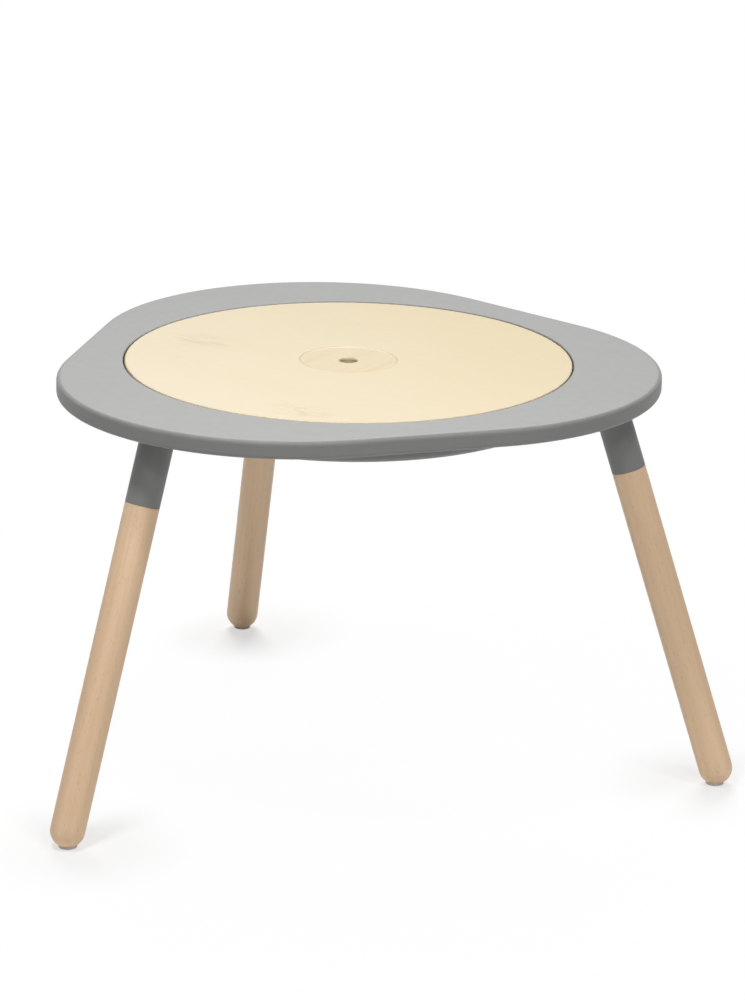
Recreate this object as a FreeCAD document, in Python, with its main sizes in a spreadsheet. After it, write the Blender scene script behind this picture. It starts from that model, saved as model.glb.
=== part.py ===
import FreeCAD, Part
import os
import re

import Sketcher

# Kids table: a three-lobed ring top on splayed round legs, with a plywood disc that lifts out of
# the ring and a storage bowl below it. The origin is on the floor, under the middle of the top.
# Each sub-part is drawn with its lobe or leg along +X and then turned about Z to its place.

# Driving dimensions, in millimetres and degrees
SIZES = {
    "table_height": 460,
    "back_direction": 90,
    # Top disc
    "disc_diameter": 498,
    "disc_thickness": 11,
    "disc_edge_radius": 1.8,
    "disc_gap": 1.5,
    "dish_diameter": 110,
    "dish_depth": 0.8,
    "dish_cove_radius": 8,
    "finger_hole_diameter": 20,
    "finger_hole_edge_radius": 2,
    # Ring round the disc
    "waist_width": 52,
    "lobe_width": 99,
    "ring_thickness": 20,
    "ring_wall": 5,
    "ring_top_wall": 4,
    "ring_top_edge_radius": 5,
    "ring_bottom_edge_radius": 4.5,
    "well_edge_radius": 1.5,
    "ledge_width": 11.5,
    # Soft pads on the ledge
    "pad_diameter": 9,
    "pad_stand": 1,
    "pad_recess": 1,
    "pad_fit": 0.1,
    "pad_edge_radius": 0.4,
    # Storage bowl
    "bowl_depth": 28.5,
    "bowl_wall": 3,
    "bowl_draft": 2,
    "bowl_flange_width": 11,
    "bowl_flange_thickness": 3,
    "bowl_outer_radius": 10,
    "bowl_inner_radius": 7,
    # Cover under the ring
    "cover_thickness": 3,
    "cover_fit": 0.4,
    "cover_boss_diameter": 10,
    # Legs and feet
    "leg_diameter": 38,
    "splay": 18,
    "socket_drop": 80,
    "joint_edge_radius": 0.6,
    "spigot_diameter": 26,
    "spigot_fit": 0.15,
    "spigot_end_gap": 0.5,
    "spigot_chamfer": 1.5,
    "glide_diameter": 20,
    "glide_thickness": 3,
    "glide_edge_radius": 1,
    # Leg sockets
    "flange_border": 15,
    "flange_thickness": 7,
    "flange_gap": 1.5,
    "socket_roof": 19.5,
    # Leg bolts and their inserts
    "bolt_diameter": 8,
    "bolt_in_leg": 40,
    "bolt_out": 20,
    "bolt_point": 6,
    "bolt_chamfer": 1.2,
    "insert_diameter": 12,
    "insert_length": 16,
    "thread_fit": 0.05,
    # Screws
    "screw_diameter": 4,
    "screw_head_diameter": 8,
    "screw_head_height": 2.6,
    "screw_head_edge_radius": 0.8,
    "screw_key_radius": 1.6,
    "screw_key_depth": 1.4,
    "screw_hole_fit": 0.2,
    "screw_end_gap": 0.5,
    "cover_screw_spare": 4,
    "bowl_screw_spare": 3,
    "socket_screw_edge": 7,
    "glide_screw_bite": 12,
    "glide_screw_sink": 0.4,
    "glide_screw_head_diameter": 6,
    "glide_screw_head_height": 1.4,
    "glide_screw_head_edge_radius": 0.4,
    "glide_screw_diameter": 3,
    "glide_screw_key_radius": 1.2,
    "glide_screw_key_depth": 0.8,
}

# Places and sizes that follow from the driving dimensions
WORKED_OUT = {
    "disc_radius": "disc_diameter / 2",
    "opening_radius": "disc_radius + disc_gap",
    "lobe_reach": "opening_radius + lobe_width",
    "waist_reach": "opening_radius + waist_width",
    "lobe_offset": "2 * (lobe_reach - waist_reach)",
    "lobe_radius": "lobe_reach - lobe_offset",
    "ring_bottom": "table_height - ring_thickness",
    "ring_ceiling": "table_height - ring_top_wall",
    "disc_bottom": "table_height - disc_thickness",
    "dish_floor": "table_height - dish_depth",
    "dish_cove_width": "sqrt(dish_cove_radius ^ 2 - (dish_cove_radius - dish_depth) ^ 2)",
    "dish_flat_radius": "dish_diameter / 2 - dish_cove_width",
    "ledge_top": "disc_bottom - pad_stand",
    "well_radius": "opening_radius - ledge_width",
    "hollow_radius": "opening_radius + ring_wall",
    "pad_circle": "opening_radius - ledge_width / 2",
    "bowl_bottom": "ring_bottom - bowl_depth",
    "bowl_outside": "well_radius + bowl_wall",
    "bowl_screw_circle": "bowl_outside + bowl_flange_width / 2",
    "bowl_screw_seat": "ring_bottom - bowl_flange_thickness",
    "bowl_screw_bite": "ledge_top - ring_bottom - bowl_screw_spare",
    "cover_top": "ring_bottom + cover_thickness",
    "cover_screw_circle": "opening_radius + waist_width / 2",
    "cover_screw_bite": "ring_ceiling - cover_top - cover_screw_spare",
    "flange_top": "cover_top + flange_thickness",
    "flange_radius": "leg_diameter / 2 + flange_border",
    "flange_offset": "hollow_radius + flange_gap + flange_radius",
    "socket_screw_circle": "flange_radius - socket_screw_edge",
    "socket_screw_seat": "cover_top + screw_head_height",
    "socket_screw_bite": "ring_ceiling - flange_top",
    "foot_radius": "flange_offset + (cover_top + flange_thickness / 2) * tan(splay)",
    "leg_radius": "leg_diameter / 2",
    "shoulder": "(ring_bottom - socket_drop) / cos(splay)",
    "bolt_end": "flange_top / cos(splay) - socket_roof",
    "spigot_top": "bolt_end - bolt_out",
    "bore_end": "spigot_top + spigot_end_gap",
    "insert_end": "bore_end + insert_length",
    "dome_height": "glide_thickness + sqrt(leg_radius ^ 2 - (glide_diameter / 2) ^ 2)",
    "dome_centre": "dome_height / cos(splay)",
    "glide_offset": "foot_radius - dome_height * tan(splay)",
    "glide_screw_seat": "glide_screw_sink + glide_screw_head_height",
}

LEG_TURNS = {"back": "back_direction", "left": "back_direction + 120", "right": "back_direction + 240"}
LEG_COUNT = len(LEG_TURNS)
PAD_COUNT = 6
BOWL_SCREW_COUNT = 6
COVER_SCREW_COUNT = 9
SOCKET_SCREW_COUNT = 4
KEY_SIDES = 6

# How far two equal lengths may differ, and the least volume that a cut takes away
MATCH_TOLERANCE = 1e-4
LEAST_CUT = 1e-3

doc = FreeCAD.newDocument("KidsTable")
sheet = doc.addObject("Spreadsheet::Sheet", "Sizes")
for row, (alias, value) in enumerate(SIZES.items(), start=1):
    sheet.set(f"A{row}", alias)
    sheet.set(f"B{row}", str(value))
    sheet.setAlias(f"B{row}", alias)
doc.recompute()

sub_parts = []


# Sizes and expressions

def bound(text):
    """The text as an expression in which each size's name stands for its cell in the sheet."""
    def cell(match):
        word = match.group()
        if word in WORKED_OUT:
            return f"({bound(WORKED_OUT[word])})"
        return f"Sizes.{word}" if word in SIZES else word
    return re.sub(r"[a-z]\w*", cell, text)


def number(text):
    """The present value of an expression."""
    return float(sheet.evalExpression(bound(text)))


def near(value, text):
    """Whether a measured value is the expression's value."""
    return abs(value - number(text)) < MATCH_TOLERANCE


# Bodies and sketches

def new_body(label, turn="back_direction"):
    """A sub-part's body, turned about Z."""
    body = doc.addObject("PartDesign::Body", label)
    body.Label = label
    body.setExpression("Placement.Rotation.Angle", bound(turn))
    sub_parts.append(body)
    return body


def origin_feature(body, role):
    """One of the body's own origin planes or axes."""
    return next(item for item in body.Origin.OriginFeatures if item.Role == role)


def new_sketch(body, name, plane="XY_Plane", height="0"):
    """A sketch on one of the body's origin planes, raised off it by a height."""
    sketch = body.newObject("Sketcher::SketchObject", f"{body.Name}_{name}")
    sketch.AttachmentSupport = [(origin_feature(body, plane), "")]
    sketch.MapMode = "FlatFace"
    sketch.setExpression("AttachmentOffset.Base.z", bound(height))
    return sketch


def place_of(corner):
    """A sketch point at a pair of expressions."""
    return FreeCAD.Vector(number(corner[0]), number(corner[1]), 0)


def tie(sketch, kind, geometry, text):
    """A dimension of the sketch that follows an expression."""
    index = sketch.addConstraint(Sketcher.Constraint(kind, *geometry, number(text)))
    sketch.setExpression(f"Constraints[{index}]", bound(text))


def pin(sketch, geometry, point, corner):
    """Holds a point of the sketch at a pair of expressions."""
    for kind, text in zip(("DistanceX", "DistanceY"), corner):
        tie(sketch, kind, (-1, 1, geometry, point), text)


def circle(sketch, radius, centre=("0", "0")):
    """A round outline."""
    shape = Part.Circle(place_of(centre), FreeCAD.Vector(0, 0, 1), number(radius))
    index = sketch.addGeometry(shape)
    pin(sketch, index, 3, centre)
    tie(sketch, "Radius", (index,), radius)


def outline(sketch, corners, arcs=None):
    """A closed outline through its corners; arcs maps a corner to the arc that leaves it.

    An arc is its centre and its radius, and it turns to the left.
    """
    arcs = arcs or {}
    places = [place_of(corner) for corner in corners]
    sides = []
    for index, start in enumerate(places):
        end = places[(index + 1) % len(places)]
        if index in arcs:
            middle = place_of(arcs[index][0])
            ring = Part.Circle(middle, FreeCAD.Vector(0, 0, 1), number(arcs[index][1]))
            arc = Part.ArcOfCircle(ring, ring.parameter(start), ring.parameter(end))
            sides.append(sketch.addGeometry(arc))
            tie(sketch, "Radius", (sides[-1],), arcs[index][1])
        else:
            sides.append(sketch.addGeometry(Part.LineSegment(start, end)))
    for index, corner in enumerate(corners):
        sketch.addConstraint(Sketcher.Constraint("Coincident", sides[index - 1], 2, sides[index], 1))
        pin(sketch, sides[index], 1, corner)


def round_place(radius, direction):
    """A place on a circle about the sketch's middle."""
    return f"({radius}) * cos({direction})", f"({radius}) * sin({direction})"


def lobed_outline(sketch, radius):
    """The top's outline: a wide arc round each lobe, joined by straight sides."""
    corners = []
    arcs = {}
    for lobe in range(LEG_COUNT):
        direction = 360 / LEG_COUNT * lobe
        centre = round_place("lobe_offset", direction)
        arcs[len(corners)] = (centre, radius)
        for end in (direction - 180 / LEG_COUNT, direction + 180 / LEG_COUNT):
            across, along = round_place(radius, end)
            corners.append((f"{centre[0]} + {across}", f"{centre[1]} + {along}"))
    outline(sketch, corners, arcs)


def on_leg(along, across):
    """A place in a leg's upright plane: so far up its axis from the floor, and so far out from the axis."""
    return (
        f"foot_radius - ({along}) * sin(splay) + ({across}) * cos(splay)",
        f"({along}) * cos(splay) + ({across}) * sin(splay)",
    )


def leg_sketch(body, name):
    """A sketch in a leg's upright plane, with the leg's axis as its first construction line."""
    sketch = new_sketch(body, name, "XZ_Plane")
    ends = (on_leg("0", "0"), on_leg("shoulder", "0"))
    axis = sketch.addGeometry(Part.LineSegment(*map(place_of, ends)), True)
    for point, end in enumerate(ends, start=1):
        pin(sketch, axis, point, end)
    return sketch


# Features

def add_feature(body, kind, sketch, **settings):
    """A feature made from a sketch."""
    feature = body.newObject(f"PartDesign::{kind}", f"{sketch.Name}_{kind}")
    feature.Profile = sketch
    for name, setting in settings.items():
        setattr(feature, name, setting)
    return feature


def settle(body, before=None):
    """Recomputes the body, and makes sure that a cut took something away."""
    doc.recompute()
    if before is not None and body.Shape.Volume > before - LEAST_CUT:
        raise RuntimeError(f"a cut in {body.Label} took nothing away")


def pad(body, sketch, length, down=False):
    """Extrudes a sketch, upwards unless told otherwise."""
    feature = add_feature(body, "Pad", sketch, Reversed=down)
    feature.setExpression("Length", bound(length))
    settle(body)
    return feature


def pocket(body, sketch, length=None, up=False):
    """Cuts a sketch downwards or upwards, right through if no length is given."""
    before = body.Shape.Volume
    feature = add_feature(body, "Pocket", sketch, Reversed=up)
    if length is None:
        feature.Type = "ThroughAll"
    else:
        feature.setExpression("Length", bound(length))
    settle(body, before)
    return feature


def revolve(body, sketch, axis="V_Axis"):
    """Turns a profile about an axis of its sketch."""
    feature = add_feature(body, "Revolution", sketch, ReferenceAxis=(sketch, [axis]))
    settle(body)
    return feature


def groove(body, sketch, axis="Axis0"):
    """Cuts a profile turned about an axis of its sketch."""
    before = body.Shape.Volume
    feature = add_feature(body, "Groove", sketch, ReferenceAxis=(sketch, [axis]))
    settle(body, before)
    return feature


def repeat_round(body, feature, count):
    """Repeats a feature evenly round the table's axis."""
    pattern = body.newObject("PartDesign::PolarPattern", f"{feature.Name}_pattern")
    pattern.Originals = [feature]
    pattern.Axis = (origin_feature(body, "Z_Axis"), [""])
    pattern.Angle = 360
    pattern.Occurrences = count
    body.Tip = pattern
    settle(body)


def soften(body, chosen, size, kind="Fillet"):
    """Rounds or chamfers the edges that a test picks."""
    base = body.Tip
    edges = [f"Edge{index}" for index, edge in enumerate(base.Shape.Edges, start=1) if chosen(edge)]
    feature = body.newObject(f"PartDesign::{kind}", f"{base.Name}_{kind}")
    feature.Base = (base, edges)
    feature.setExpression("Radius" if kind == "Fillet" else "Size", bound(size))
    settle(body)


def round_edge(edge, radius):
    """Whether an edge lies on a circle of a radius."""
    return not edge.Degenerated and isinstance(edge.Curve, Part.Circle) and near(edge.Curve.Radius, radius)


def level_edge(height, radius=None):
    """A test for edges that lie at a height, on a circle of a radius if one is given."""
    def chosen(edge):
        flat = all(near(z, height) for z in (edge.BoundBox.ZMin, edge.BoundBox.ZMax))
        return flat and (radius is None or round_edge(edge, radius))
    return chosen


def leg_edge(along, radius):
    """A test for round edges about a leg's axis, at a place along it."""
    def chosen(edge):
        return round_edge(edge, radius) and near(edge.Curve.Center.z, on_leg(along, "0")[1])
    return chosen


def socket_screw_places():
    """Where the screws of one socket stand, on a circle about the flange's middle."""
    places = []
    for index in range(SOCKET_SCREW_COUNT):
        direction = 360 / SOCKET_SCREW_COUNT * (index + 0.5)
        across, aside = round_place("socket_screw_circle", direction)
        places.append((f"flange_offset + {across}", aside))
    return places


COVER_SCREW_PLACE = round_place("cover_screw_circle", 180)
BOWL_SCREW_PLACE = round_place("bowl_screw_circle", 180 / BOWL_SCREW_COUNT)
PAD_PLACE = round_place("pad_circle", 0)
GLIDE_PLACE = ("glide_offset", "0")


# Top

def make_ring():
    """The moulded ring: a lobed shell, open below, with a stepped round well for the disc."""
    body = new_body("tabletop_ring")
    shape = new_sketch(body, "outline", height="ring_bottom")
    lobed_outline(shape, "lobe_radius")
    pad(body, shape, "ring_thickness")
    soften(body, level_edge("table_height"), "ring_top_edge_radius")
    soften(body, level_edge("ring_bottom"), "ring_bottom_edge_radius")

    well = new_sketch(body, "well", height="table_height")
    circle(well, "well_radius")
    pocket(body, well)
    seat = new_sketch(body, "seat", height="table_height")
    circle(seat, "opening_radius")
    pocket(body, seat, "table_height - ledge_top")
    soften(body, level_edge("table_height", "opening_radius"), "well_edge_radius")

    hollow = new_sketch(body, "hollow", height="ring_bottom")
    lobed_outline(hollow, "lobe_radius - ring_wall")
    circle(hollow, "hollow_radius")
    pocket(body, hollow, "ring_ceiling - ring_bottom", up=True)

    add_ring_bosses(body)
    cut_ring_holes(body)


def add_ring_bosses(body):
    """Seats for the socket flanges and bosses for the cover's screws, under the ring's top."""
    flange = new_sketch(body, "flange_seat", height="flange_top")
    circle(flange, "flange_radius", ("flange_offset", "0"))
    repeat_round(body, pad(body, flange, "ring_ceiling - flange_top"), LEG_COUNT)
    boss = new_sketch(body, "cover_boss", height="cover_top")
    circle(boss, "cover_boss_diameter / 2", COVER_SCREW_PLACE)
    repeat_round(body, pad(body, boss, "ring_ceiling - cover_top"), COVER_SCREW_COUNT)


def cut_ring_holes(body):
    """Screw holes from below, and the recesses for the pads on the ledge."""
    thread = "screw_diameter / 2 + thread_fit"
    sockets = new_sketch(body, "socket_holes", height="flange_top")
    for place in socket_screw_places():
        circle(sockets, thread, place)
    repeat_round(body, pocket(body, sockets, "socket_screw_bite + screw_end_gap", up=True), LEG_COUNT)
    cover = new_sketch(body, "cover_holes", height="cover_top")
    circle(cover, thread, COVER_SCREW_PLACE)
    repeat_round(body, pocket(body, cover, "cover_screw_bite + screw_end_gap", up=True), COVER_SCREW_COUNT)
    bowl = new_sketch(body, "bowl_holes", height="ring_bottom")
    circle(bowl, thread, BOWL_SCREW_PLACE)
    repeat_round(body, pocket(body, bowl, "bowl_screw_bite + screw_end_gap", up=True), BOWL_SCREW_COUNT)
    pads = new_sketch(body, "pad_recesses", height="ledge_top")
    circle(pads, "pad_diameter / 2 + pad_fit", PAD_PLACE)
    repeat_round(body, pocket(body, pads, "pad_recess"), PAD_COUNT)


def make_disc():
    """The plywood disc, with a turned finger dish and a finger hole."""
    body = new_body("tabletop_disc")
    board = new_sketch(body, "board", height="disc_bottom")
    circle(board, "disc_radius")
    pad(body, board, "disc_thickness")
    soften(body, lambda edge: level_edge("table_height")(edge) or level_edge("disc_bottom")(edge),
           "disc_edge_radius")
    dish = new_sketch(body, "dish", "XZ_Plane")
    outline(dish, [
        ("0", "dish_floor"),
        ("dish_flat_radius", "dish_floor"),
        ("dish_diameter / 2", "table_height"),
        ("0", "table_height"),
    ], {1: (("dish_flat_radius", "dish_floor + dish_cove_radius"), "dish_cove_radius")})
    groove(body, dish, "V_Axis")
    hole = new_sketch(body, "finger_hole", height="table_height")
    circle(hole, "finger_hole_diameter / 2")
    pocket(body, hole)
    rim = "finger_hole_diameter / 2"
    soften(body, lambda edge: level_edge("dish_floor", rim)(edge)
           or level_edge("disc_bottom", rim)(edge), "finger_hole_edge_radius")


def make_pads():
    """Soft pads in the ledge's recesses, which the disc rests on."""
    body = new_body("disc_rest_pads")
    shape = new_sketch(body, "shape", height="ledge_top - pad_recess")
    circle(shape, "pad_diameter / 2", PAD_PLACE)
    repeat_round(body, pad(body, shape, "pad_recess + pad_stand"), PAD_COUNT)
    soften(body, level_edge("disc_bottom"), "pad_edge_radius")


def make_bowl():
    """The storage bowl, hung by its rim under the ledge."""
    body = new_body("storage_bowl")
    profile = new_sketch(body, "profile", "XZ_Plane")
    floor = "bowl_bottom + bowl_wall"
    outline(profile, [
        ("0", "bowl_bottom"),
        ("bowl_outside - bowl_draft", "bowl_bottom"),
        ("bowl_outside", "bowl_screw_seat"),
        ("bowl_outside + bowl_flange_width", "bowl_screw_seat"),
        ("bowl_outside + bowl_flange_width", "ring_bottom"),
        ("well_radius", "ring_bottom"),
        ("well_radius - bowl_draft", floor),
        ("0", floor),
    ])
    revolve(body, profile)
    soften(body, level_edge("bowl_bottom"), "bowl_outer_radius")
    soften(body, level_edge(floor), "bowl_inner_radius")
    holes = new_sketch(body, "holes", height="ring_bottom")
    circle(holes, "screw_diameter / 2 + screw_hole_fit", BOWL_SCREW_PLACE)
    repeat_round(body, pocket(body, holes, "bowl_flange_thickness"), BOWL_SCREW_COUNT)


def make_cover():
    """The plate that closes the ring's hollow, pierced by the sockets."""
    body = new_body("underside_cover")
    plate = new_sketch(body, "plate", height="ring_bottom")
    lobed_outline(plate, "lobe_radius - ring_wall - cover_fit")
    circle(plate, "hollow_radius + cover_fit")
    pad(body, plate, "cover_thickness")
    way = leg_sketch(body, "socket_way")
    outline(way, [
        on_leg("shoulder", "0"),
        on_leg("shoulder", "leg_radius + cover_fit"),
        on_leg("table_height / cos(splay)", "leg_radius + cover_fit"),
        on_leg("table_height / cos(splay)", "0"),
    ])
    repeat_round(body, groove(body, way), LEG_COUNT)
    holes = new_sketch(body, "screw_holes", height="ring_bottom")
    circle(holes, "screw_diameter / 2 + screw_hole_fit", COVER_SCREW_PLACE)
    repeat_round(body, pocket(body, holes, "cover_thickness", up=True), COVER_SCREW_COUNT)


# Legs

def make_socket(side, turn):
    """A socket: a tube as thick as the leg, under a flange that is screwed to the ring."""
    body = new_body(f"{side}_leg_socket", turn)
    tube = leg_sketch(body, "tube")
    outline(tube, [
        on_leg("shoulder", "0"),
        on_leg("shoulder", "leg_radius"),
        on_leg("table_height / cos(splay)", "leg_radius"),
        on_leg("table_height / cos(splay)", "0"),
    ])
    revolve(body, tube, "Axis0")
    soften(body, leg_edge("shoulder", "leg_radius"), "joint_edge_radius")
    flange = new_sketch(body, "flange", height="cover_top")
    circle(flange, "flange_radius", ("flange_offset", "0"))
    pad(body, flange, "flange_thickness")
    top = new_sketch(body, "top", height="flange_top")
    circle(top, "flange_radius + leg_radius", ("flange_offset", "0"))
    pocket(body, top, "table_height", up=True)

    bore = leg_sketch(body, "bore")
    spigot_way = "spigot_diameter / 2 + spigot_fit"
    insert_way = "insert_diameter / 2 + thread_fit"
    bolt_way = "bolt_diameter / 2 + spigot_fit"
    outline(bore, [
        on_leg("shoulder", "0"),
        on_leg("shoulder", spigot_way),
        on_leg("bore_end", spigot_way),
        on_leg("bore_end", insert_way),
        on_leg("insert_end", insert_way),
        on_leg("insert_end", bolt_way),
        on_leg("bolt_end + screw_end_gap", bolt_way),
        on_leg("bolt_end + screw_end_gap", "0"),
    ])
    groove(body, bore)

    shanks = new_sketch(body, "shank_holes", height="flange_top")
    heads = new_sketch(body, "head_holes", height="cover_top")
    for place in socket_screw_places():
        circle(shanks, "screw_diameter / 2 + screw_hole_fit", place)
        circle(heads, "screw_head_diameter / 2 + screw_hole_fit", place)
    pocket(body, shanks, "flange_thickness")
    pocket(body, heads, "screw_head_height", up=True)


def make_leg(side, turn):
    """A turned leg: a spigot at the top, and a round foot cut flat for its glide."""
    body = new_body(f"{side}_leg", turn)
    profile = leg_sketch(body, "profile")
    outline(profile, [
        on_leg("dome_centre - leg_radius", "0"),
        on_leg("dome_centre", "leg_radius"),
        on_leg("shoulder", "leg_radius"),
        on_leg("shoulder", "spigot_diameter / 2"),
        on_leg("spigot_top", "spigot_diameter / 2"),
        on_leg("spigot_top", "0"),
    ], {0: (on_leg("dome_centre", "0"), "leg_radius")})
    revolve(body, profile, "Axis0")
    soften(body, leg_edge("shoulder", "leg_radius"), "joint_edge_radius")
    soften(body, leg_edge("spigot_top", "spigot_diameter / 2"), "spigot_chamfer", "Chamfer")
    foot = new_sketch(body, "foot", height="glide_thickness")
    circle(foot, "leg_diameter", GLIDE_PLACE)
    pocket(body, foot, "leg_diameter")

    hole = leg_sketch(body, "bolt_hole")
    hole_radius = "bolt_diameter / 2 + thread_fit"
    hole_end = "spigot_top - bolt_in_leg - screw_end_gap"
    outline(hole, [
        on_leg(hole_end, "0"),
        on_leg(hole_end, hole_radius),
        on_leg("spigot_top", hole_radius),
        on_leg("spigot_top", "0"),
    ])
    groove(body, hole)
    screw = new_sketch(body, "glide_screw_hole", height="glide_thickness")
    circle(screw, "glide_screw_diameter / 2 + thread_fit", GLIDE_PLACE)
    pocket(body, screw, "glide_screw_bite + screw_end_gap", up=True)


def make_leg_bolt(side, turn):
    """A hanger bolt: pointed in the leg, and chamfered where it enters the insert."""
    body = new_body(f"{side}_leg_bolt", turn)
    profile = leg_sketch(body, "profile")
    outline(profile, [
        on_leg("spigot_top - bolt_in_leg", "0"),
        on_leg("spigot_top - bolt_in_leg + bolt_point", "bolt_diameter / 2"),
        on_leg("bolt_end - bolt_chamfer", "bolt_diameter / 2"),
        on_leg("bolt_end", "bolt_diameter / 2 - bolt_chamfer"),
        on_leg("bolt_end", "0"),
    ])
    revolve(body, profile, "Axis0")


def make_leg_insert(side, turn):
    """The threaded insert in the socket that takes the bolt."""
    body = new_body(f"{side}_leg_insert", turn)
    profile = leg_sketch(body, "profile")
    bore = "bolt_diameter / 2 + thread_fit"
    outline(profile, [
        on_leg("bore_end", bore),
        on_leg("bore_end", "insert_diameter / 2"),
        on_leg("insert_end", "insert_diameter / 2"),
        on_leg("insert_end", bore),
    ])
    revolve(body, profile, "Axis0")


def make_glide(side, turn):
    """A flat glide, level with the floor, with a sunk hole for its screw."""
    body = new_body(f"{side}_foot_glide", turn)
    puck = new_sketch(body, "puck")
    circle(puck, "glide_diameter / 2", GLIDE_PLACE)
    pad(body, puck, "glide_thickness")
    soften(body, level_edge("0"), "glide_edge_radius")
    head = new_sketch(body, "head_hole")
    circle(head, "glide_screw_head_diameter / 2 + screw_hole_fit", GLIDE_PLACE)
    pocket(body, head, "glide_screw_seat", up=True)
    shank = new_sketch(body, "shank_hole", height="glide_thickness")
    circle(shank, "glide_screw_diameter / 2 + screw_hole_fit", GLIDE_PLACE)
    pocket(body, shank)


# Fasteners

def make_screws(label, places, count, seat, bite, prefix="screw"):
    """Screws driven up from below: round heads under their seat, each with a six-sided key socket."""
    body = new_body(label)
    head_bottom = f"{seat} - {prefix}_head_height"
    shanks = new_sketch(body, "shanks", height=seat)
    heads = new_sketch(body, "heads", height=seat)
    keys = new_sketch(body, "keys", height=head_bottom)
    for place in places:
        circle(shanks, f"{prefix}_diameter / 2", place)
        circle(heads, f"{prefix}_head_diameter / 2", place)
        corners = [round_place(f"{prefix}_key_radius", 360 / KEY_SIDES * side) for side in range(KEY_SIDES)]
        outline(keys, [(f"{place[0]} + {x}", f"{place[1]} + {y}") for x, y in corners])
    for feature in (
        pad(body, heads, f"{prefix}_head_height", down=True),
        pad(body, shanks, bite),
        pocket(body, keys, f"{prefix}_key_depth", up=True),
    ):
        repeat_round(body, feature, count)
    soften(body, level_edge(head_bottom, f"{prefix}_head_diameter / 2"), f"{prefix}_head_edge_radius")


def write_parts():
    """Checks every object and writes each sub-part to its own file."""
    doc.recompute()
    for item in doc.Objects:
        if "Invalid" in item.State or "Error" in item.State:
            raise RuntimeError(f"{item.Label} failed: {item.State}")
    os.makedirs("parts", exist_ok=True)
    for body in sub_parts:
        shape = body.Shape
        if shape.isNull() or not shape.isValid() or not shape.Solids:
            raise RuntimeError(f"{body.Label} has no valid solid")
        shape.exportStep(f"parts/{body.Label}.step")
        print(f"{body.Label}: {len(shape.Solids)} solids, {shape.Volume / 1000:.2f} cm3")


make_ring()
make_disc()
make_pads()
make_bowl()
make_cover()
for side, turn in LEG_TURNS.items():
    make_socket(side, turn)
    make_leg(side, turn)
    make_leg_bolt(side, turn)
    make_leg_insert(side, turn)
    make_glide(side, turn)
make_screws("socket_screws", socket_screw_places(), LEG_COUNT, "socket_screw_seat",
            "flange_top - socket_screw_seat + socket_screw_bite")
make_screws("cover_screws", [COVER_SCREW_PLACE], COVER_SCREW_COUNT, "ring_bottom",
            "cover_thickness + cover_screw_bite")
make_screws("bowl_screws", [BOWL_SCREW_PLACE], BOWL_SCREW_COUNT, "bowl_screw_seat",
            "bowl_flange_thickness + bowl_screw_bite")
make_screws("glide_screws", [GLIDE_PLACE], LEG_COUNT, "glide_screw_seat",
            "glide_thickness - glide_screw_seat + glide_screw_bite", "glide_screw")
write_parts()
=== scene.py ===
import math

import bpy
from mathutils import Matrix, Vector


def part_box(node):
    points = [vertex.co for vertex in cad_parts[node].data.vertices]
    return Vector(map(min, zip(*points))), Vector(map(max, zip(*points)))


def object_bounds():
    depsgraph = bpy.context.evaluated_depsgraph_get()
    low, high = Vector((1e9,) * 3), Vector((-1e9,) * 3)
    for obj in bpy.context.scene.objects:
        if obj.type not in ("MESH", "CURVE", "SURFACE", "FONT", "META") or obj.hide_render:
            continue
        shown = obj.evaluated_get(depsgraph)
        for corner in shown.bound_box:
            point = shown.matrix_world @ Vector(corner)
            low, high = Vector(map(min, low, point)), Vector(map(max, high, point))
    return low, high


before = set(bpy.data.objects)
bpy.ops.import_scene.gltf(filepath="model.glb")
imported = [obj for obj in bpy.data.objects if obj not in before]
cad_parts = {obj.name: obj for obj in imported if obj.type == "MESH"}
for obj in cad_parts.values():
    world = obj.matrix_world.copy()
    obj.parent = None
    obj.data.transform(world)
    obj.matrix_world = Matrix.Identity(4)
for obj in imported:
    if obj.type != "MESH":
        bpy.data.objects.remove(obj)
CAD_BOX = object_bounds()

# Places in the frame, in metres and radians
SIDES = ("back", "left", "right")
TOP = CAD_BOX[1].z
LEG_SPLAY = math.radians(18)
DISC_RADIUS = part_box("tabletop_disc")[1].x
DISC_EDGE = 0.002
DISH_RADIUS = 0.055
DISH_DEPTH = 0.0008
DISH_EASE = 0.2 * DISH_DEPTH
DISH_RIM = 0.001
HOLE_RADIUS = 0.010

# Colours, linear
GREY = (0.205, 0.206, 0.2)
GREY_RUBBER = (0.12, 0.12, 0.118)
GLIDE_GREY = (0.70, 0.68, 0.62)
BIRCH_PALE = (0.545, 0.462, 0.32)
BIRCH_WARM = (0.485, 0.383, 0.19)
BIRCH_BROWN = (0.37, 0.26, 0.135)
BIRCH_DISH = (0.495, 0.4, 0.228)
PLY_LIGHT = (0.72, 0.60, 0.43)
PLY_DARK = (0.56, 0.43, 0.27)
BEECH_PALE = (0.82, 0.585, 0.38)
BEECH_WARM = (0.735, 0.51, 0.32)
BEECH_FLECK = (0.36, 0.22, 0.12)
ZINC = (0.62, 0.62, 0.63)
BRASS = (0.68, 0.46, 0.17)
WHITE = (1, 1, 1)

# Veneer, in metres and radians
PLY_THICKNESS = 0.00122
VENEER_GRAIN = math.radians(-50)
FAR_STAIN = (-0.138, 0.108, TOP)
NEAR_STAIN = (-0.108, -0.182, TOP)

# Depths of the fine relief, in metres
MOULD_ETCHING = 0.00004
RUBBER_GRAIN = 0.00005
TURNING_MARKS = 0.00002
WOOD_FIBRES = 0.00003

# Floor and light: reaches in metres, the rest as shares of white
FLOOR_REACH = 40
FLOOR_WHITE = 0.9
FLOOR_BOUNCE = 0.95
FLOOR_GLOW = 0.97
FOOT_GLOW = 0.6
FOOT_REACH = (0.02, 0.15)
SHADOW_REACH = (0.45, 0.9)
AMBIENT = 0.12


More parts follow.
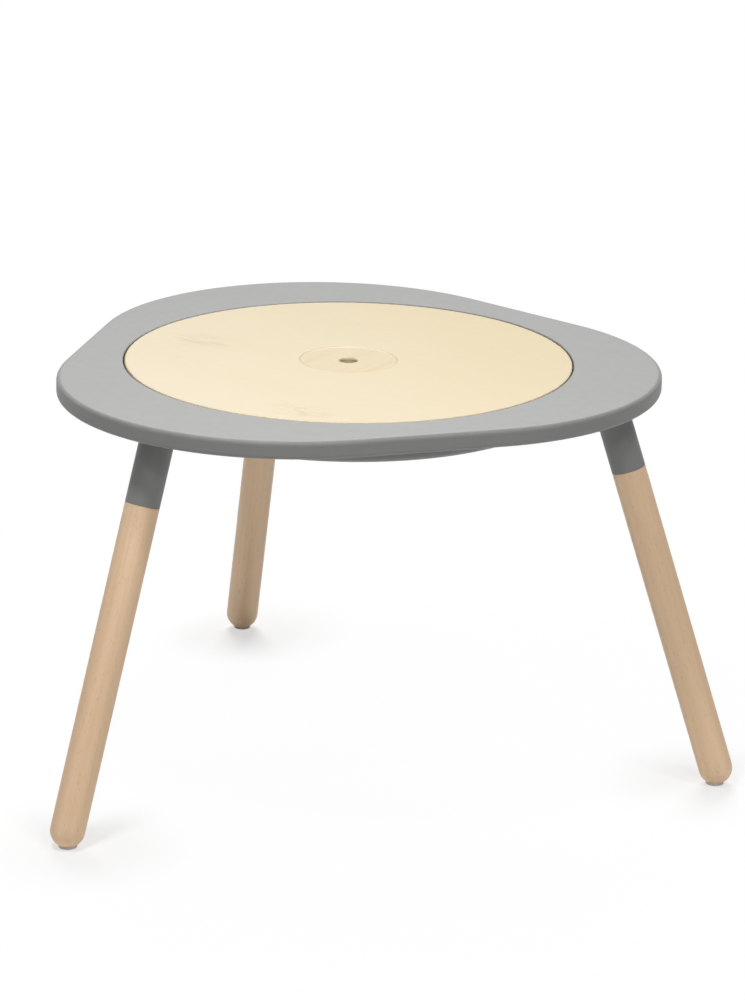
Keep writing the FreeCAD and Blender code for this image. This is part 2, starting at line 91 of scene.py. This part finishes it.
class Finish:
    """A material being made: each method adds a node and gives its output."""

    def __init__(self, name):
        self.material = bpy.data.materials.new(name)
        self.material.use_nodes = True
        self.tree = self.material.node_tree
        self.tree.nodes.clear()
        self.place = self.add("TexCoord", output="Object")
        self.normal = self.add("NewGeometry", output="Normal")

    def add(self, kind, inputs=None, output=0, **settings):
        """A node with its settings; an input is a value or another node's output."""
        node = self.tree.nodes.new(f"ShaderNode{kind}")
        for name, value in settings.items():
            setattr(node, name, value)
        for name, value in (inputs or {}).items():
            if isinstance(value, bpy.types.NodeSocket):
                self.tree.links.new(value, node.inputs[name])
            else:
                node.inputs[name].default_value = value
        return node.outputs[output] if node.outputs else None

    def stretched(self, scale, turn=(0, 0, 0), origin=(0, 0, 0)):
        """The place on the piece, moved to an origin, turned about it and then scaled."""
        local = self.add("Mapping", {"Vector": self.place, "Location": origin, "Rotation": turn},
                         vector_type="TEXTURE")
        return self.add("VectorMath", {0: local, 1: scale}, operation="MULTIPLY")

    def noise(self, vector, scale=1, detail=2, roughness=0.5, distortion=0):
        """Smooth noise from 0 to 1."""
        return self.add("TexNoise", {"Vector": vector, "Scale": scale, "Detail": detail,
                                     "Roughness": roughness, "Distortion": distortion})

    def ramp(self, value, span, to=(0, 1)):
        """The value eased from one span to another."""
        return self.add("MapRange", {"Value": value, "From Min": span[0], "From Max": span[1],
                                     "To Min": to[0], "To Max": to[1]}, interpolation_type="SMOOTHSTEP")

    def math(self, operation, *values):
        """A sum on one or two values."""
        return self.add("Math", dict(enumerate(values)), operation=operation)

    def part(self, vector, axis):
        """One of a vector's three parts."""
        return self.add("SeparateXYZ", {0: vector}, output="XYZ".index(axis))

    def length(self, vector):
        """How long a vector is."""
        return self.add("VectorMath", {0: vector}, output="Value", operation="LENGTH")

    def distance(self, vector, point):
        """How far a vector's end is from a point."""
        return self.add("VectorMath", {0: vector, 1: point}, output="Value", operation="DISTANCE")

    def blend(self, share, first, second):
        """A colour between two others, through the mixing node's colour sockets."""
        ends = {6: self.opaque(first), 7: self.opaque(second)}
        return self.add("Mix", {0: share, **ends}, output=2, data_type="RGBA")

    @staticmethod
    def opaque(colour):
        """A colour as a socket takes it."""
        return (*colour, 1) if isinstance(colour, tuple) else colour

    def bump(self, height, distance):
        """A normal roughened by a height."""
        return self.add("Bump", {"Height": height, "Distance": distance})

    def surface(self, colour, roughness, normal, **constants):
        """Ends the material in one surface shader."""
        inputs = {"Base Color": colour, "Roughness": roughness, "Normal": normal}
        for name, value in constants.items():
            inputs[name.replace("_", " ").title().replace("Ior", "IOR")] = value
        shader = self.add("BsdfPrincipled", inputs)
        self.add("OutputMaterial", {"Surface": shader})
        return self.material


def tinted(colour, factor):
    """A colour made lighter or darker."""
    return tuple(part * factor for part in colour)


def around(middle, reach):
    """The span that reaches as far to both sides of a value."""
    return middle - reach, middle + reach


# Materials

def moulded_plastic(name, colour, roughness):
    """Satin plastic from a finely etched mould; its rounded edges are painted lighter, partly as wear
    and partly as a painted highlight.
    """
    speck_share = 0.25
    edge_wear_and_highlight = 0.5
    finish = Finish(name)
    cloud = finish.noise(finish.place, scale=9, detail=3)
    speck = finish.noise(finish.place, scale=700)
    clouded = finish.math("MULTIPLY", cloud, 1 - speck_share)
    mottle = finish.math("ADD", clouded, finish.math("MULTIPLY", speck, speck_share))
    body = finish.blend(mottle, tinted(colour, 0.96), tinted(colour, 1.04))
    # The slope is 0 on level and upright faces, and a quarter halfway between them.
    level = finish.math("POWER", finish.part(finish.normal, "Z"), 2)
    slope = finish.math("MULTIPLY", level, finish.math("SUBTRACT", 1, level))
    scuff_field = finish.noise(finish.place, scale=60, detail=4, roughness=0.6)
    scuffs = finish.ramp(scuff_field, (0.45, 0.7), to=(0.3, 1))
    # Rounded edges painted lighter: part wear, part painted highlight along the fillets and lower edges
    worn_and_highlit_edges = finish.math("MULTIPLY", finish.ramp(slope, (0.14, 0.25), to=(0, edge_wear_and_highlight)), scuffs)
    coloured = finish.blend(worn_and_highlit_edges, body, tinted(colour, 1.35))
    sheen_field = finish.noise(finish.place, scale=80, detail=3)
    sheen = finish.ramp(sheen_field, (0.3, 0.7), to=around(roughness, 0.015))
    etched = finish.bump(finish.noise(finish.place, scale=1600), MOULD_ETCHING)
    return finish.surface(coloured, sheen, etched, specular_ior_level=0.4)


def soft_rubber(name, colour):
    """Matt rubber with a dusty bloom."""
    finish = Finish(name)
    bloom = finish.noise(finish.place, scale=180, detail=4, roughness=0.65)
    coloured = finish.blend(bloom, tinted(colour, 0.8), tinted(colour, 1.3))
    matt = finish.ramp(bloom, (0.3, 0.7), to=(0.7, 0.85))
    grain = finish.bump(finish.noise(finish.place, scale=1400), RUBBER_GRAIN)
    return finish.surface(coloured, matt, grain)


def plated_metal(name, colour, roughness):
    """Tumbled metal, with fine turning marks and a patchy shine."""
    finish = Finish(name)
    patches = finish.noise(finish.place, scale=240, detail=3)
    coloured = finish.blend(patches, tinted(colour, 0.82), tinted(colour, 1.1))
    marks = finish.noise(finish.stretched((300, 300, 6000)))
    shine = finish.ramp(patches, (0.3, 0.7), to=(roughness - 0.06, roughness + 0.1))
    return finish.surface(coloured, shine, finish.bump(marks, TURNING_MARKS), metallic=1.0)


def birch_plywood(name):
    """Lacquered birch plywood: pale face veneer, striped edges, and the next ply in the finger dish."""
    finish = Finish(name)
    turn = (0, 0, VENEER_GRAIN)
    ply_weight = 0.8
    end_grain_weight = 0.3

    def grained(along, across, deep, **character):
        """Noise drawn out along the veneer's grain, from how often it changes each way in a metre."""
        return finish.noise(finish.stretched((along, across, deep), turn), **character)

    # Face veneer: pale to warm across the disc, with streaks, fibres and flecks along the grain
    clouds = grained(4, 9, 4, detail=3, roughness=0.55, distortion=0.4)
    streaks = grained(7, 90, 20, detail=3, roughness=0.55, distortion=0.6)
    fibres = grained(45, 1400, 300)
    across_disc = finish.ramp(finish.part(finish.place, "X"), around(0, DISC_RADIUS))
    tone = finish.math("MULTIPLY", finish.math("ADD", clouds, across_disc), 0.5)
    face = finish.blend(tone, BIRCH_PALE, BIRCH_WARM)
    streaked = finish.blend(finish.ramp(streaks, (0.56, 0.86), to=(0, 0.28)), face, BIRCH_WARM)
    fibred = finish.blend(finish.ramp(fibres, (0.5, 0.8), to=(0, 0.12)), streaked, BIRCH_BROWN)
    flecks = finish.ramp(grained(60, 330, 100), (0.74, 0.82), to=(0, 0.5))
    flecked = finish.blend(flecks, fibred, BIRCH_BROWN)

    # Two brown stains, broken up by blotches
    blotch_field = grained(30, 120, 40, detail=4, roughness=0.6, distortion=0.5)
    blotches = finish.ramp(blotch_field, (0.4, 0.65))

    def stain(place, length, width, strength):
        """A soft brown mark, longest along the grain."""
        reach = finish.length(finish.stretched((1 / length, 1 / width, 0), turn, place))
        return finish.math("MULTIPLY", finish.ramp(reach, (0, 1), to=(strength, 0)), blotches)

    far_stain = stain(FAR_STAIN, length=0.07, width=0.045, strength=0.4)
    near_stain = stain(NEAR_STAIN, length=0.05, width=0.03, strength=0.55)
    veneer = finish.blend(finish.math("ADD", far_stain, near_stain), flecked, BIRCH_BROWN)

    # Finger dish: the next ply, with its grain crosswise, and its sloped wall painted browner as shade
    height = finish.part(finish.place, "Z")
    from_middle = finish.length(finish.stretched((1, 1, 0)))
    sunk = finish.ramp(height, (TOP - DISH_EASE, TOP), to=(1, 0))
    within_rim = finish.ramp(from_middle, (DISH_RADIUS, DISH_RADIUS + DISH_RIM), to=(1, 0))
    in_dish = finish.math("MULTIPLY", sunk, within_rim)
    # The dish's sloped wall is painted darker brown as shade in the recess
    painted_wall_shade = finish.ramp(finish.part(finish.normal, "Z"), (0.9, 0.98), to=(0.4, 0))
    cross_grain = grained(100, 9, 30, detail=3)
    grain_and_wall_shade = finish.math("ADD", finish.ramp(cross_grain, (0.4, 0.8), to=(0, 0.3)), painted_wall_shade)
    second_ply_with_wall_shade = finish.blend(grain_and_wall_shade, BIRCH_DISH, BIRCH_BROWN)
    faces = finish.blend(in_dish, veneer, second_ply_with_wall_shade)

    # Edges: the plies in turn, on the steep faces at the rim and in the hole
    steep = finish.ramp(finish.math("ABSOLUTE", finish.part(finish.normal, "Z")), (0.8, 0.96), to=(1, 0))
    at_rim = finish.math("GREATER_THAN", from_middle, DISC_RADIUS - DISC_EDGE)
    at_hole = finish.math("LESS_THAN", from_middle, HOLE_RADIUS + DISC_EDGE)
    on_edge = finish.math("MULTIPLY", steep, finish.math("MAXIMUM", at_rim, at_hole))
    layers = finish.math("DIVIDE", finish.math("SUBTRACT", TOP, height), PLY_THICKNESS)
    plies = finish.math("MULTIPLY", finish.math("PINGPONG", layers, 1), ply_weight)
    end_fibres = finish.noise(finish.stretched((700, 700, 2500)))
    end_grain = finish.math("MULTIPLY", end_fibres, end_grain_weight)
    stripes = finish.ramp(finish.math("ADD", plies, end_grain), (0.35, 0.75))
    edge = finish.blend(stripes, PLY_LIGHT, PLY_DARK)

    coloured = finish.blend(on_edge, faces, edge)
    lacquer = finish.ramp(fibres, (0.3, 0.7), to=(0.42, 0.52))
    return finish.surface(coloured, lacquer, finish.bump(fibres, WOOD_FIBRES))


def foot_of(side):
    """The middle of a leg's glide on the floor."""
    low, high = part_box(f"{side}_foot_glide")
    return (low + high) / 2


def beech(name, side):
    """Turned beech with its grain along the leg and short darker flecks."""
    finish = Finish(name)
    foot = foot_of(side)
    direction = math.atan2(foot.y, foot.x)
    turn = (Matrix.Rotation(direction, 3, "Z") @ Matrix.Rotation(-LEG_SPLAY, 3, "Y")).to_euler()

    def grained(across, along, **character):
        """Noise drawn out along the leg, from how often it changes each way in a metre."""
        return finish.noise(finish.stretched((across, across, along), turn, foot), **character)

    bands = grained(55, 2.2, detail=3, distortion=0.3)
    streaks = grained(260, 7, detail=3, roughness=0.55, distortion=0.3)
    fibres = grained(1500, 40)
    body = finish.blend(finish.ramp(bands, (0.3, 0.7)), BEECH_PALE, BEECH_WARM)
    streaked = finish.blend(finish.ramp(streaks, (0.5, 0.85), to=(0, 0.18)), body, BEECH_FLECK)
    rays = finish.ramp(grained(900, 160, detail=1), (0.64, 0.74), to=(0, 0.3))
    rayed = finish.blend(rays, streaked, BEECH_FLECK)
    marks = finish.ramp(grained(210, 110), (0.78, 0.84), to=(0, 0.4))
    coloured = finish.blend(marks, rayed, BEECH_FLECK)
    lacquer = finish.ramp(fibres, (0.3, 0.7), to=(0.46, 0.56))
    return finish.surface(coloured, lacquer, finish.bump(fibres, WOOD_FIBRES))


def dress(node, material):
    """Gives a node its material."""
    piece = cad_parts[node]
    piece.data.materials.clear()
    piece.data.materials.append(material)


def dress_table():
    """Gives every node of the table its material."""
    grey = moulded_plastic("grey_plastic", GREY, roughness=0.52)
    zinc = plated_metal("zinc_plated_steel", ZINC, roughness=0.34)
    brass = plated_metal("brass", BRASS, roughness=0.3)
    glide = moulded_plastic("glide_plastic", GLIDE_GREY, roughness=0.5)
    for node in ("tabletop_ring", "underside_cover", "storage_bowl"):
        dress(node, grey)
    dress("tabletop_disc", birch_plywood("birch_plywood"))
    dress("disc_rest_pads", soft_rubber("pad_rubber", GREY_RUBBER))
    for side in SIDES:
        dress(f"{side}_leg", beech(f"beech_{side}", side))
        dress(f"{side}_leg_socket", grey)
        dress(f"{side}_leg_bolt", zinc)
        dress(f"{side}_leg_insert", brass)
        dress(f"{side}_foot_glide", glide)
    for node in ("glide_screws", "socket_screws", "cover_screws", "bowl_screws"):
        dress(node, zinc)


# Floor, light and camera

def seen_directly(tree):
    """Whether a ray comes from the camera, a gloss or a clear surface, as a share."""
    path = tree.nodes.new("ShaderNodeLightPath")
    share = path.outputs["Is Camera Ray"]
    for name in ("Is Glossy Ray", "Is Transmission Ray"):
        either = tree.nodes.new("ShaderNodeMath")
        either.operation = "MAXIMUM"
        tree.links.new(share, either.inputs[0])
        tree.links.new(path.outputs[name], either.inputs[1])
        share = either.outputs[0]
    return share


def make_floor():
    """A wide white floor, seen as white but still shaded under the table and round its feet."""
    mesh = bpy.data.meshes.new("floor")
    corners = [(x * FLOOR_REACH, y * FLOOR_REACH, 0) for x, y in ((-1, -1), (1, -1), (1, 1), (-1, 1))]
    mesh.from_pydata(corners, [], [range(len(corners))])
    floor = bpy.data.objects.new("floor", mesh)
    bpy.context.scene.collection.objects.link(floor)
    finish = Finish("floor_white")
    seen = seen_directly(finish.tree)
    paint = finish.blend(seen, tinted(WHITE, FLOOR_BOUNCE), tinted(WHITE, FLOOR_WHITE))
    diffuse = finish.add("BsdfDiffuse", {"Color": paint})
    glow = finish.add("Emission", {"Strength": 1.0})
    from_foot = FLOOR_REACH
    for side in SIDES:
        from_foot = finish.math("MINIMUM", from_foot, finish.distance(finish.place, foot_of(side)))
    shaded = finish.ramp(from_foot, FOOT_REACH, to=(FOOT_GLOW, FLOOR_GLOW))
    glowing = finish.ramp(finish.length(finish.place), SHADOW_REACH, to=(shaded, 1))
    share = finish.math("MULTIPLY", seen, glowing)
    finish.add("OutputMaterial", {"Surface": finish.add("MixShader", {0: share, 1: diffuse, 2: glow})})
    mesh.materials.append(finish.material)


def make_world():
    """White all round for the eye, and softer where it lights the table."""
    world = bpy.data.worlds.new("studio")
    world.use_nodes = True
    tree = world.node_tree
    tree.nodes.clear()
    strength = tree.nodes.new("ShaderNodeMapRange")
    strength.inputs["To Min"].default_value = AMBIENT
    strength.inputs["To Max"].default_value = 1.0
    background = tree.nodes.new("ShaderNodeBackground")
    background.inputs["Color"].default_value = Finish.opaque(WHITE)
    output = tree.nodes.new("ShaderNodeOutputWorld")
    tree.links.new(seen_directly(tree), strength.inputs["Value"])
    tree.links.new(strength.outputs["Result"], background.inputs["Strength"])
    tree.links.new(background.outputs["Background"], output.inputs["Surface"])
    bpy.context.scene.world = world


def facing_top(bearing, rise, distance):
    """A place that faces the middle of the top, at a bearing from the front and a rise above the top."""
    return (
        Matrix.Translation((0, 0, TOP))
        @ Matrix.Rotation(math.radians(bearing), 4, "Z")
        @ Matrix.Rotation(math.radians(90 - rise), 4, "X")
        @ Matrix.Translation((0, 0, distance))
    )


def make_lamp(name, place, size, power, spread=180):
    """A rectangular lamp, which the camera doesn't see."""
    lamp = bpy.data.lights.new(name, "AREA")
    lamp.shape = "RECTANGLE"
    lamp.size, lamp.size_y = size
    lamp.energy = power
    lamp.spread = math.radians(spread)
    holder = bpy.data.objects.new(name, lamp)
    holder.matrix_world = place
    holder.visible_camera = False
    bpy.context.scene.collection.objects.link(holder)


def make_lamps():
    """A large softbox behind, four small ones round the front, and a wash on the floor at the back."""
    large = (2.8, 1.7)
    small = (0.3, 0.3)
    behind = facing_top(bearing=163, rise=45, distance=6.0)
    left = facing_top(bearing=-50, rise=65, distance=2.0)
    front_left = facing_top(bearing=-25, rise=35, distance=3.2)
    front = facing_top(bearing=0, rise=35, distance=3.2)
    front_high = facing_top(bearing=25, rise=55, distance=3.2)
    over_back = Matrix.Translation((0, 1.8, 2.6))
    make_lamp("softbox_behind", behind, large, power=240)
    make_lamp("softbox_left", left, small, power=21)
    make_lamp("softbox_front_left", front_left, small, power=6)
    make_lamp("softbox_front", front, small, power=15)
    make_lamp("softbox_front_high", front_high, small, power=20)
    make_lamp("floor_wash", over_back, size=(1.0, 1.0), power=32, spread=52)


def make_camera():
    """The photograph's view: from in front, a little to the left, and well above the top."""
    swing = math.radians(17.068)
    back_off = 4.5481
    height = 1.7262
    pitch = math.radians(17.449)
    pan = math.radians(0.372)
    roll = math.radians(1.035)
    camera = bpy.data.cameras.new("camera")
    camera.lens = 152.76
    camera.sensor_width = 36
    holder = bpy.data.objects.new("camera", camera)
    holder.matrix_world = (
        Matrix.Rotation(-swing, 4, "Z")
        @ Matrix.Translation((0, -back_off, height))
        @ Matrix.Rotation(-pan, 4, "Z")
        @ Matrix.Rotation(math.pi / 2 - pitch, 4, "X")
        @ Matrix.Rotation(roll, 4, "Z")
    )
    bpy.context.scene.collection.objects.link(holder)
    bpy.context.scene.camera = holder


dress_table()
make_floor()
make_world()
make_lamps()
make_camera()
bpy.context.scene.view_settings.view_transform = "Standard"
